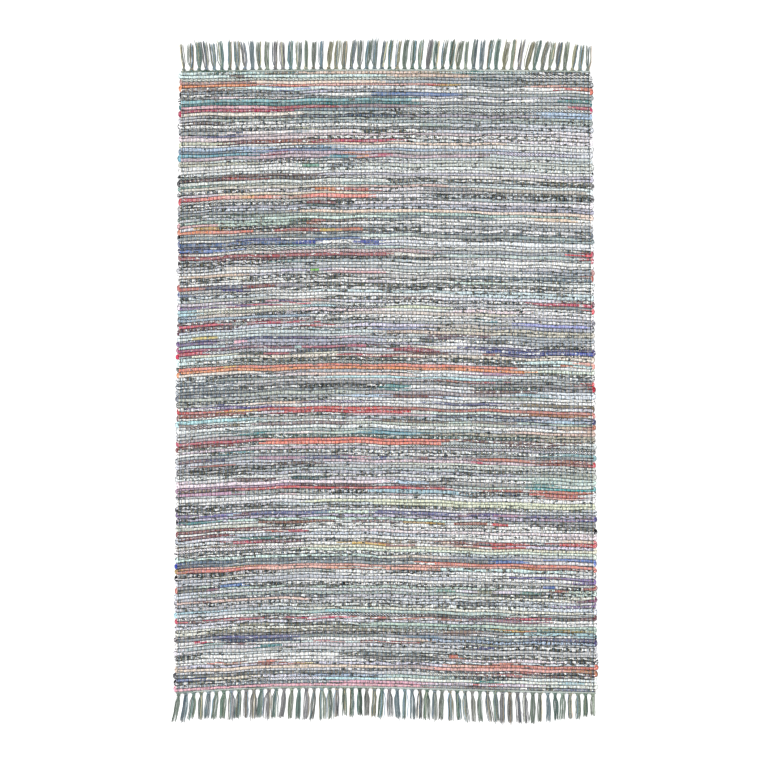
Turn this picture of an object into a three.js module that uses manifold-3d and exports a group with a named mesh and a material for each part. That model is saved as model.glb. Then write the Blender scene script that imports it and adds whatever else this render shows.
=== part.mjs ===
// A flat-woven rag rug. Strips of rag lie side by side as weft rows on a thin cotton warp, each
// strip turns back at the selvedge into the next row, and the warp ends are knotted into locks
// that make a fringe at both ends.
//
// Units are millimetres. X runs along the weft, Y along the warp and Z up. The rug lies on the
// plane z = 0, and the origin is at the centre of its footprint.

import * as THREE from "three";
import { mergeVertices } from "three/addons/utils/BufferGeometryUtils.js";
import Module from "manifold-3d";

const wasm = await Module();
wasm.setup();

// Woven body
const BODY_LENGTH = 1748; // along the warp, from edge to edge of the weaving
const HALF_WIDTH_FAR = 590; // centre line to selvedge at the far end, +Y
const HALF_WIDTH_NEAR = 605; // and at the near end, where the rug is a little wider
const ROWS = 200; // rows of rag weft
const THICKNESS = 6; // floor to the crest of a full row
const CREST_SAG = 0.7; // how much lower the thinnest row's crest is
const GROOVE_DEPTH = 2.2; // crest down to the groove between two rows
const CREST = { start: 0.26, end: 0.74 }; // the crest's stretch of a row, as shares of the pitch

// Selvedges: where a strip turns back, two rows end in one rounded loop
const LOOP_UNEVENNESS = 4; // how far the shortest loop stays back
const LOOP_INSET = { heart: 0, shoulder: 0.8, flank: 2.6, notch: 5 };

// The rows hang back towards both selvedges, and wander: forward left of the middle, back right.
const STATIONS = [-1, -0.6, -0.2, 0.2, 0.6, 1]; // shares of the half width
const BOW = [
  { along: 0.0, drop: 5, wander: 0 },
  { along: 0.06, drop: 8.5, wander: 0 },
  { along: 0.15, drop: 14, wander: 0.5 },
  { along: 0.4, drop: 16.5, wander: 3 },
  { along: 0.5, drop: 17, wander: 3 },
  { along: 0.8, drop: 16, wander: 4.5 },
  { along: 1.0, drop: 16, wander: 4.5 },
];

// Fringe: a narrow strip of crowded warp at the edge of the weaving, and the locks on it
const EDGE_GAP = 0.3; // between the weaving and the strip
const STRIP_WIDTH = 4;
const STRIP_HEIGHT = 3.6;
const STRIP_INSET = 9; // the strip ends this far inside the selvedge
const STRIP_MARGIN = 1.5; // and runs on this far past its first and last lock
const LEAN_SPREAD = 5; // how far a lock's tip strays from its section's lean
const LEAN_CURVE = 1.5; // a lock leaves its knot straight and bends over towards its tip
const TIP_PITCH = 16.5; // the closest that two tips lie, middle to middle
const TRIM_SPREAD = 6; // how much shorter the shortest lock is than its section's length
const LOCK_PROFILE = [
  { along: 0.0, width: 13, height: 3.2 }, // warp ends drawn together
  { along: 0.11, width: 8, height: 5 }, // knot
  { along: 0.2, width: 8, height: 3.4 },
  { along: 0.6, width: 12, height: 2.8 },
  { along: 1.0, width: 15, height: 2.2 }, // loose ends
];
const FAR_FRINGE = {
  locks: 54,
  sections: [
    { across: -1.0, lean: -6, length: 84 },
    { across: -0.6, lean: -3, length: 88 },
    { across: -0.45, lean: 2, length: 88 },
    { across: 0.1, lean: 8, length: 89 },
    { across: 0.5, lean: 9, length: 90 },
    { across: 0.65, lean: 17, length: 90 },
    { across: 0.85, lean: 15, length: 86 },
    { across: 1.0, lean: 1, length: 76 },
  ],
};
const NEAR_FRINGE = {
  locks: 56,
  sections: [
    { across: -1.0, lean: -12, length: 84 },
    { across: -0.9, lean: -6, length: 84 },
    { across: -0.5, lean: -7, length: 91 },
    { across: -0.3, lean: -3, length: 100 },
    { across: -0.2, lean: -2, length: 84 },
    { across: 0.25, lean: -3, length: 93 },
    { across: 0.45, lean: 8, length: 94 },
    { across: 0.7, lean: 0, length: 92 },
    { across: 0.85, lean: -1, length: 82 },
    { across: 1.0, lean: 2, length: 67 },
  ],
};

// A repeatable stray value from 0 to 1 for the n-th piece of a kind.
function stray(n, kind) {
  const wave = Math.sin(n * 12.9898 + kind * 78.233) * 43758.5453;
  return wave - Math.floor(wave);
}
const CREST_KIND = 1;
const LOOP_KIND = 2;
const LEAN_KIND = 4;
const TRIM_KIND = 6;

// The value of a column where its key column reaches a place, on straight lines between rows.
function readTable(table, key, place, column) {
  const next = Math.max(1, table.findIndex((row) => row[key] >= place));
  const [low, high] = [table[next - 1], table[next]];
  const share = (place - low[key]) / (high[key] - low[key]);
  return low[column] + share * (high[column] - low[column]);
}

const halfWidthAt = (along) =>
  HALF_WIDTH_FAR + along * (HALF_WIDTH_NEAR - HALF_WIDTH_FAR);

// Where a row lies: along is 0 at the far edge and 1 at the near edge, station is across it.
function rowY(along, station) {
  const drop = readTable(BOW, "along", along, "drop") * station ** 2;
  const wander = readTable(BOW, "along", along, "wander") * Math.sin(Math.PI * station);
  return BODY_LENGTH * (0.5 - along) - drop - wander;
}

// Places the points of a box that has been cut into segments.
function shapeBox(segments, place) {
  const box = new THREE.BoxGeometry(1, 1, 1, ...segments);
  const points = box.getAttribute("position");
  for (let i = 0; i < points.count; i++) {
    const corner = [points.getX(i) + 0.5, points.getY(i) + 0.5, points.getZ(i) + 0.5];
    points.setXYZ(i, ...place(...corner));
  }
  return box;
}

function toSolid(geometry) {
  const bare = geometry.clone();
  bare.deleteAttribute("normal");
  bare.deleteAttribute("uv");
  const merged = mergeVertices(bare, 1e-3);
  return new wasm.Manifold(
    new wasm.Mesh({
      numProp: 3,
      vertProperties: merged.getAttribute("position").array,
      triVerts: new Uint32Array(merged.index.array),
    }),
  );
}

function toGeometry(solid) {
  const { vertProperties, triVerts } = solid.getMesh();
  const geometry = new THREE.BufferGeometry();
  geometry.setAttribute("position", new THREE.BufferAttribute(vertProperties, 3));
  geometry.setIndex(new THREE.BufferAttribute(triVerts, 1));
  return geometry;
}

function namedMesh(name, geometry, material) {
  const mesh = new THREE.Mesh(geometry, material);
  mesh.name = name;
  return mesh;
}

// Each row has three lines across the rug: its groove and both sides of its crest.
const LINES_PER_ROW = 3;
const LINES = ROWS * LINES_PER_ROW;

function lineShape(line) {
  const row = Math.floor(line / LINES_PER_ROW);
  const part = line % LINES_PER_ROW;
  const share = [0, CREST.start, CREST.end][part];
  const crest = THICKNESS - CREST_SAG * stray(row, CREST_KIND);
  return {
    row,
    part,
    along: (row + share) / ROWS,
    height: part === 0 ? THICKNESS - GROOVE_DEPTH : crest,
  };
}

// How far a line stays inside the selvedge. The rows pair up into loops, and the pairs on the
// right lie one row further on than those on the left, as one strip runs to and fro.
function selvedgeInset(row, part, side) {
  const firstOfPair = (row + (side > 0 ? 1 : 0)) % 2 === 0;
  const loop = Math.floor((row + (side > 0 ? 1 : 0)) / 2);
  const shapes = firstOfPair
    ? [LOOP_INSET.notch, LOOP_INSET.flank, LOOP_INSET.shoulder]
    : [LOOP_INSET.heart, LOOP_INSET.shoulder, LOOP_INSET.flank];
  return shapes[part] + LOOP_UNEVENNESS * stray(loop, LOOP_KIND + (side > 0 ? 1 : 0));
}

// The rows are raised in the top points, and the cut at z = 0 leaves one flat underside.
function wovenBody() {
  const BELOW = -4;
  const place = (across, down, up) => {
    const station = STATIONS[Math.round(across * (STATIONS.length - 1))];
    const { row, part, along, height } = lineShape(Math.round((1 - down) * LINES));
    const side = Math.abs(station) === 1 ? station : 0;
    const inset = side === 0 ? 0 : selvedgeInset(row, part, side);
    const x = station * halfWidthAt(along) - side * inset;
    return [x, rowY(along, station), up > 0.5 ? height : BELOW];
  };
  const blank = toSolid(shapeBox([STATIONS.length - 1, LINES, 1], place));
  const floor = new THREE.BoxGeometry(4 * HALF_WIDTH_NEAR, 2 * BODY_LENGTH, -2 * BELOW);
  return toGeometry(blank.subtract(toSolid(floor.translate(0, 0, BELOW))));
}

// A flat-bottomed slab from the points and the four-sided faces of its top.
function slab(points, top) {
  const below = (i) => i + points.length;
  const edges = top.flatMap(([a, b, c, d]) => [[a, b], [b, c], [c, d], [d, a]]);
  const inside = new Set(edges.map(([a, b]) => `${b} ${a}`));
  const rim = edges.filter(([a, b]) => !inside.has(`${a} ${b}`));
  const faces = [
    ...top,
    ...top.map(([a, b, c, d]) => [below(d), below(c), below(b), below(a)]),
    ...rim.map(([a, b]) => [b, a, below(a), below(b)]),
  ];
  const places = [
    ...points.flatMap(({ x, y, height }) => [x, y, height]),
    ...points.flatMap(({ x, y }) => [x, y, 0]),
  ];
  const geometry = new THREE.BufferGeometry();
  geometry.setAttribute("position", new THREE.Float32BufferAttribute(places, 3));
  geometry.setIndex(faces.flatMap(([a, b, c, d]) => [a, b, c, a, c, d]));
  return geometry;
}

// Where each lock of a fringe starts and how it lies: its root, its sideways lean and its length.
function layLocks({ locks, sections }, along, reach) {
  const rowLength = 2 * (reach - STRIP_INSET - STRIP_MARGIN) - LOCK_PROFILE[0].width;
  let leastTip = -Infinity;
  return Array.from({ length: locks }, (_, i) => {
    const rootX = (i / (locks - 1) - 0.5) * rowLength;
    const station = rootX / reach;
    const strayLean = (stray(i, LEAN_KIND + along) - 0.5) * 2 * LEAN_SPREAD;
    const lean = readTable(sections, "across", station, "lean") + strayLean;
    const trim = stray(i, TRIM_KIND + along) * TRIM_SPREAD;
    const length = readTable(sections, "across", station, "length") - trim;
    const tipX = Math.max(rootX + lean, leastTip);
    leastTip = tipX + TIP_PITCH;
    return { rootX, lean: tipX - rootX, length };
  });
}

// The two sides of a lock at each place of its profile, from its root to its tip.
function lockPairs({ rootX, lean, length }, rootY, end) {
  return LOCK_PROFILE.map(({ along, width, height }) => {
    const x = rootX + lean * along ** LEAN_CURVE;
    const y = rootY + end * along * length;
    return [{ x: x - width / 2, y, height }, { x: x + width / 2, y, height }];
  });
}

// The strip and its locks as one comb. end is 1 at the far edge of the weaving, -1 at the near.
function fringe(shape, end) {
  const along = end > 0 ? 0 : 1;
  const reach = halfWidthAt(along);
  const edge = STATIONS.map((at) => ({ at, y: rowY(along, at) + end * EDGE_GAP }));
  const innerY = (x) => readTable(edge, "at", x / reach, "y");
  const outerY = (x) => innerY(x) + end * STRIP_WIDTH;

  const points = [];
  const faces = [];
  const add = (point) => points.push(point) - 1;
  const join = (a, b, c, d) => faces.push(end > 0 ? [a, b, c, d] : [d, c, b, a]);

  // From each place on the outer side of the strip there is one straight across on its inner side.
  let last = null;
  const addToStrip = (outer) => {
    const { x } = points[outer];
    const inner = add({ x, y: innerY(x), height: STRIP_HEIGHT });
    if (last) join(last.inner, inner, outer, last.outer);
    last = { inner, outer };
  };
  const addStripEnd = (x) => addToStrip(add({ x, y: outerY(x), height: STRIP_HEIGHT }));

  addStripEnd(STRIP_INSET - reach);
  for (const lock of layLocks(shape, along, reach)) {
    const pairs = lockPairs(lock, outerY(lock.rootX), end).map((pair) => pair.map(add));
    pairs[0].forEach(addToStrip);
    for (let i = 1; i < pairs.length; i++) {
      join(...pairs[i - 1], pairs[i][1], pairs[i][0]);
    }
  }
  addStripEnd(reach - STRIP_INSET);
  return slab(points, faces);
}

const ragCloth = new THREE.MeshStandardMaterial({
  name: "rag_weft",
  color: new THREE.Color(0.62, 0.64, 0.65),
  roughness: 0.95,
  metalness: 0,
});
const warpYarn = new THREE.MeshStandardMaterial({
  name: "warp_yarn",
  color: new THREE.Color(0.4, 0.48, 0.46),
  roughness: 0.95,
  metalness: 0,
});

const rug = new THREE.Group();
rug.add(namedMesh("woven_body", wovenBody(), ragCloth));
rug.add(namedMesh("fringe_far", fringe(FAR_FRINGE, 1), warpYarn));
rug.add(namedMesh("fringe_near", fringe(NEAR_FRINGE, -1), warpYarn));

// The two fringes differ in length, so the whole is moved until its footprint is centred.
const footprint = new THREE.Box3().setFromObject(rug).getCenter(new THREE.Vector3());
rug.position.set(-footprint.x, -footprint.y, 0);

export default rug;
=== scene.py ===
"""A flat-woven rag rug: two hundred rows of rag strips on a thin cotton warp, turned back at
both selvedges, with the warp ends knotted into a fringe at both ends.

Lengths are millimetres until a mesh is made. X runs along the rows, Y along the warp, far edge
positive, and Z up. The weave's own centre line and middle are at x = 0 and y = 0."""

import math

import bpy
import numpy as np
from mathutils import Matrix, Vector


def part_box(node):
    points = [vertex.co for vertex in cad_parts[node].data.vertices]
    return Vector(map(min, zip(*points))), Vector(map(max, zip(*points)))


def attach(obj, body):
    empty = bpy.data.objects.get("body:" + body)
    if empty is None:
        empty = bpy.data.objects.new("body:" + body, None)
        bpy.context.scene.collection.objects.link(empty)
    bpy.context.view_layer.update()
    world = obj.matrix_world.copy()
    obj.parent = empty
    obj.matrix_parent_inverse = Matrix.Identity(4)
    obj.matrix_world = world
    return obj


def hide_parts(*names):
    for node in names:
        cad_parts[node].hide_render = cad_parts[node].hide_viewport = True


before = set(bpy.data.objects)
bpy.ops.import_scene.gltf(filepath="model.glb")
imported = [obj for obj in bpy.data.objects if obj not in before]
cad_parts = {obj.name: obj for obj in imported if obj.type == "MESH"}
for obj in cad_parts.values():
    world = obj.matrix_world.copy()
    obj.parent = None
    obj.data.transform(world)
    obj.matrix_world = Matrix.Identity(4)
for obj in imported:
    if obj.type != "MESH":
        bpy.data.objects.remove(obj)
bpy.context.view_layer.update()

chance = np.random.default_rng(20)

# ---------------------------------------------------------------- sizes of the weave
METRES = 0.001
BODY_LENGTH = 1748
HALF_WIDTH_FAR = 590
HALF_WIDTH_NEAR = 605
ROWS = 200
# From the far edge, 0, to the near one, 1: how far the rows drop towards both selvedges, and how
# far they wander to one side
BOW = {
    "along": [0, 0.06, 0.15, 0.4, 0.5, 0.8, 1],
    "drop": [5, 8.5, 14, 16.5, 17, 16, 16],
    "wander": [0, 0, 0.5, 3, 3, 4.5, 4.5],
}
FAR_CREST = 0.2  # the solids' far edge reaches furthest at this station
SWAY = 0.75  # how far each of four waves sways whole groups of rows
SWAYS = [
    # across, along, phase: the waves over the whole weave
    (2.1, 9, 0.3), (3.7, 14, 1.9), (5.3, 23, 4.2), (8.1, 11, 2.6),
]
WAVER = 1.3  # how far a single groove strays from its even place along the row
GROOVE_KNOTS = 16  # in how many places it is drawn anew
UNEVEN = 1.9  # how far a whole groove lies off its place
QUIET_ROWS = 5  # the sway and waver die out over this many rows at both ends

# The rag tube of a row: points of its section as shares of its half width and half height
SECTION = [
    (1, -0.1), (0.76, 0.64), (0.3, 1), (-0.3, 1), (-0.76, 0.64), (-1, -0.1), (-0.5, -1), (0.5, -1),
]
TOP_SIDES = 5
SIDES = len(SECTION)
SEGMENTS = 60  # along one row
RAG_MIDDLE = 3.0  # height of a tube's middle over the floor
RAG_HALF_HEIGHT = 2.4
RAG_FILL = 1.0  # how much of its pitch a row fills
HEIGHT_WAVER = 0.09
HEIGHT_KNOTS = 14

# Selvedges
TURN_REACH = 10  # the rows end this far inside the selvedge, and a turn of rag takes over
TURN_SINK = 1  # how far a turn starts inside its rows
TURN_STATIONS = 9
TURN_SQUARENESS = 0.7
TURN_WIDENING = 0.04
TURN_SWELL = 0.1
TURN_PUFFS = (0.96, 1.08)
TURN_TWISTS = (5, 9)
TWIST_SLANT = 3
LOOP_UNEVENNESS = 5

# Warp
ENDS = 582
SELVEDGE_END = 12.5  # the outermost warp end lies this far inside the selvedge
YARN_RISE = 0.5  # a yarn's crest over the rag
EDGE_RISE = 0.02  # and its two edges
TIP_DEPTH = 0.3  # a yarn's tips lie this far under the rag's middle
WARP_WIDTH = 1.5
WARP_WIDTHS = (0.88, 1.12)  # of single yarns, as shares of that
WARP_WANDER = 0.3
WARP_KNOTS = 40
OVER_STRAY = 0.12
OVER_SLANT = 0.15
OVER_SHOULDER = 0.14  # where an over reaches its full height, as a share of the row
OVER_DIVE = 0.1  # how far its tips run on into the grooves
OVER_LENGTH = 9  # how long an over is in its own map
CORD_WIDTH = 1.5  # the cord of doubled ends beside each selvedge
CORD_WIDTHS = (0.5, 1.2)
CORD_INSET = 14.5

# Fringe
EDGE_GAP = 0.3
STRIP_WIDTH = 4  # the heading, between the last row and the roots of the locks
STRIP_INSET = 9
STRIP_MARGIN = 1.5
LEAN_SPREAD = 5
LEAN_CURVE = 1.5
TIP_PITCH = 16.5
TRIM_SPREAD = 6
ROOT_WIDTH = 13
LEAN_KIND = 4
TRIM_KIND = 6
FAR_FRINGE = {
    "locks": 54,
    "across": [-1, -0.6, -0.45, 0.1, 0.5, 0.65, 0.85, 1],
    "lean": [-6, -3, 2, 8, 9, 17, 15, 1],
    "length": [84, 88, 88, 89, 90, 90, 86, 76],
}
NEAR_FRINGE = {
    "locks": 56,
    "across": [-1, -0.9, -0.5, -0.3, -0.2, 0.25, 0.45, 0.7, 0.85, 1],
    "lean": [-12, -6, -7, -3, -2, -3, 8, 0, -1, 2],
    "length": [84, 84, 91, 100, 84, 93, 94, 92, 82, 67],
}
YARN_RADIUS = 1.0
FRINGE_SIDES = 4

# How the colour map is shared out
ROW_TOP = 0.8  # the share of a row's band that its upper side takes
ROW_UNDER = 0.95  # the share of what is left that its underside takes
ROWS_WIDTH = 0.997  # the rows' walls take this much of the width, and their caps the rest
ROW_CAP = 0.0005
CELL_WALLS = 0.9  # the share of its cell that a tube's walls take along it
CELL_CAPS = [(0.96, 0.25), (0.96, 0.75)]
CAP_RADIUS = 0.02
# The fringe's parts: lower corner and size
PATCHES = {
    "locks": ((0, 0), 0.8),
    "knots": ((0.8, 0), 0.2),
    "heading": ((0.8, 0.3), 0.2),
    "wisps": ((0.8, 0.6), 0.2),
}


def half_width(along):
    return HALF_WIDTH_FAR + along * (HALF_WIDTH_NEAR - HALF_WIDTH_FAR)


def row_y(along, station):
    """The even lie of the rows: along runs from 0, far edge, to 1; station from -1 to 1."""
    drop = np.interp(along, BOW["along"], BOW["drop"]) * station**2
    wander = np.interp(along, BOW["along"], BOW["wander"]) * np.sin(np.pi * station)
    return BODY_LENGTH * (0.5 - along) - drop - wander


# The weave's place in the frame, from a piece of the far edge and of the near fringe's strip
SHIFT = np.array([
    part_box("fringe_near")[1].x / METRES - (HALF_WIDTH_NEAR - STRIP_INSET),
    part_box("woven_body")[1].y / METRES - row_y(0, FAR_CREST),
    0,
])


class Waver:
    """Smooth stray values from -1 to 1: a run of knots for each line, read at any place on it."""

    def __init__(self, lines, knots):
        self.last = knots - 1e-6
        self.table = chance.uniform(-1, 1, (lines, knots + 2))

    def at(self, line, share):
        place = np.clip(share, 0, 1) * self.last
        low = place.astype(int)
        step = place - low
        step = step * step * (3 - 2 * step)
        return self.table[line, low] * (1 - step) + self.table[line, low + 1] * step


groove_waver = Waver(ROWS + 1, GROOVE_KNOTS)
height_waver = Waver(ROWS, HEIGHT_KNOTS)
groove_offset = chance.uniform(-1, 1, ROWS + 1)


def groove_y(line, x):
    """Y of the groove above a row, where line is the row's number, at x."""
    along = line / ROWS
    station = x / half_width(along)
    sway = sum(
        np.sin(np.pi * (across * station + down * along) + phase)
        for across, down, phase in SWAYS
    )
    calm = np.clip(np.minimum(line, ROWS - line) / QUIET_ROWS, 0, 1)
    waver = WAVER * groove_waver.at(line, (station + 1) / 2)
    stray = SWAY * sway + waver + UNEVEN * groove_offset[line]
    return row_y(along, station) + calm * stray


def rag_half_height(row, x):
    share = (x / HALF_WIDTH_NEAR + 1) / 2
    return RAG_HALF_HEIGHT * (1 + HEIGHT_WAVER * height_waver.at(row, share))


# ---------------------------------------------------------------- cloths
CLOTHS = {
    "white": (230, 230, 235), "pale": (226, 230, 237), "silver": (204, 212, 222),
    "grey": (154, 162, 170), "slate": (98, 110, 126), "charcoal": (74, 78, 86),
    "black": (34, 34, 38), "mint": (196, 222, 216), "palegreen": (206, 214, 206),
    "green": (92, 142, 122), "darkgreen": (46, 82, 66), "olive": (124, 120, 96),
    "oliveblack": (60, 60, 54), "grass": (112, 196, 66), "yellowgreen": (204, 208, 178),
    "teal": (36, 132, 136), "darkteal": (28, 82, 92), "aqua": (160, 210, 220),
    "turquoise": (84, 176, 198), "lightteal": (124, 180, 190), "greyteal": (128, 156, 168),
    "blue": (66, 108, 196), "lightblue": (164, 190, 220), "royal": (40, 62, 180),
    "navy": (36, 46, 96), "indigo": (60, 54, 132), "periwinkle": (128, 134, 206),
    "steel": (88, 122, 162), "slateblue": (88, 100, 154), "violet": (116, 78, 154),
    "lavender": (202, 198, 222), "lilac": (214, 200, 218), "purple": (104, 54, 132),
    "plum": (122, 54, 90), "mauve": (164, 114, 148), "pink": (230, 154, 178),
    "palepink": (238, 208, 218), "dustypink": (204, 150, 156), "hotpink": (218, 84, 128),
    "magenta": (196, 34, 110), "crimson": (200, 38, 78), "red": (212, 44, 54),
    "darkred": (132, 32, 40), "maroon": (104, 36, 52), "brick": (172, 72, 64),
    "rust": (180, 86, 64), "coral": (228, 108, 92), "salmon": (236, 160, 144),
    "orange": (232, 124, 72), "peach": (244, 204, 186), "mustard": (210, 162, 60),
    "yellow": (230, 204, 90), "tan": (196, 170, 148), "beige": (218, 206, 188),
    "cream": (236, 226, 212), "brown": (112, 84, 76), "darkbrown": (72, 54, 54),
    "taupe": (124, 112, 108),
}
INK = (10, 10, 14)
CHALK = (236, 238, 238)
WRONG_SIDE = (0.78, 0.77, 0.8, 1)  # in linear light
WASHED = 0.78  # how much of its colour a cloth has kept
DARK_CLOTH = 120  # a cloth darker than this is printed in chalk, the others in ink

# Pale cloths that fill what the chart leaves free: name, share, and how often it is printed
FILLING = [
    ("white", 32, 0.7), ("pale", 22, 0.8), ("silver", 16, 0.8), ("mint", 6, 0.6),
    ("lavender", 3, 0.5), ("lilac", 2, 0.5), ("palegreen", 3, 0.5), ("cream", 3, 0.6),
    ("palepink", 7, 0.4), ("aqua", 3, 0.4), ("beige", 2, 0.5), ("grey", 5, 0.7),
    ("lightblue", 3, 0.5), ("slate", 2, 0.8), ("charcoal", 1, 0.9), ("peach", 3, 0.3),
]

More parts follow.
